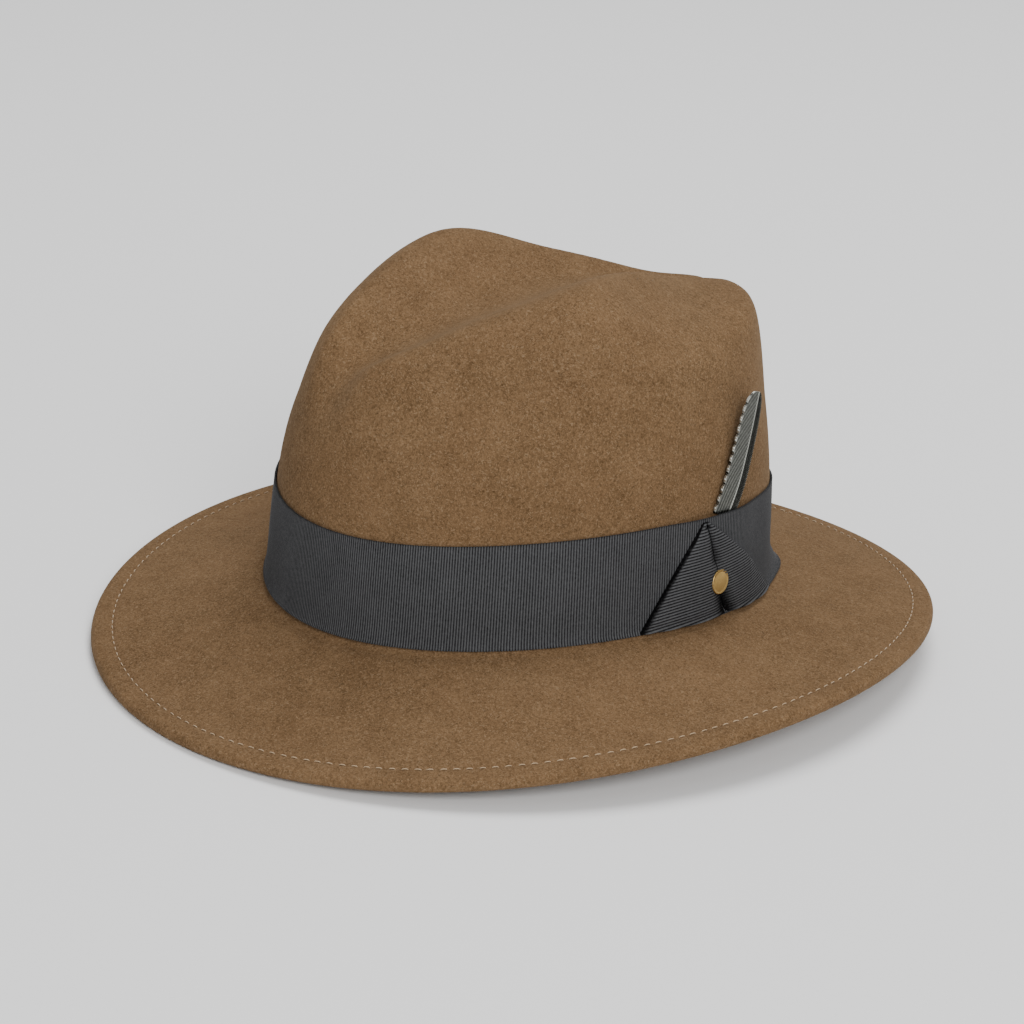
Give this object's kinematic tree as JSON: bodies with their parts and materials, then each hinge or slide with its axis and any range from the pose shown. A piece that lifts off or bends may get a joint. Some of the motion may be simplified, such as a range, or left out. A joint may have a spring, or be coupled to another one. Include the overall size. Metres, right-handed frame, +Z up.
{
  "type": "fedora hat",
  "caption": "Wide-brim fur-felt fedora with a centre-dent crown, dark grosgrain band with a folded tab and stud, and a metal feather that slides out of the band.",
  "frame": {"origin": "middle of the hat's outline in plan, on the surface it rests on", "axes": "+Z up, -Y is the front of the hat, +X is the wearer's left, where the tab and feather are. The hat rests on the front and back of its brim, so its head opening is pitched back 2.2 degrees."},
  "size_m": [0.3108, 0.3458, 0.1551],
  "materials": {
    "fur_felt": "brushed fur felt, matt",
    "brim_thread": "twisted sewing thread",
    "grosgrain": "ribbed grosgrain, low sheen",
    "stud_brass": "antique gold plate, satin",
    "feather_metal": "antique pewter, darkened in the recesses",
    "sweatband_leather": "smooth roan leather",
    "reed": "translucent plastic cord",
    "bow_ribbon": "narrow satin ribbon",
    "lining_satin": "woven satin"
  },
  "bodies": {
    "hat": {"felt_body": "fur_felt", "brim_thread_top": "brim_thread", "brim_thread_under": "brim_thread", "ribbon_band": "grosgrain", "tab_front_fold": "grosgrain", "tab_back_fold": "grosgrain", "stud_head": "stud_brass", "stud_washer": "stud_brass", "sweatband": "sweatband_leather", "sweatband_reed": "reed", "sweatband_bow": "bow_ribbon", "lining_side": "lining_satin", "lining_tip": "lining_satin"},
    "feather": {"metal_feather": "feather_metal"}
  },
  "joints": [
    {"name": "feather_slide", "type": "slide", "parent": "hat", "child": "feather", "axis": [-0.1857, 0.3706, 0.9101], "range_m": [0, 0.015]}
  ]
}
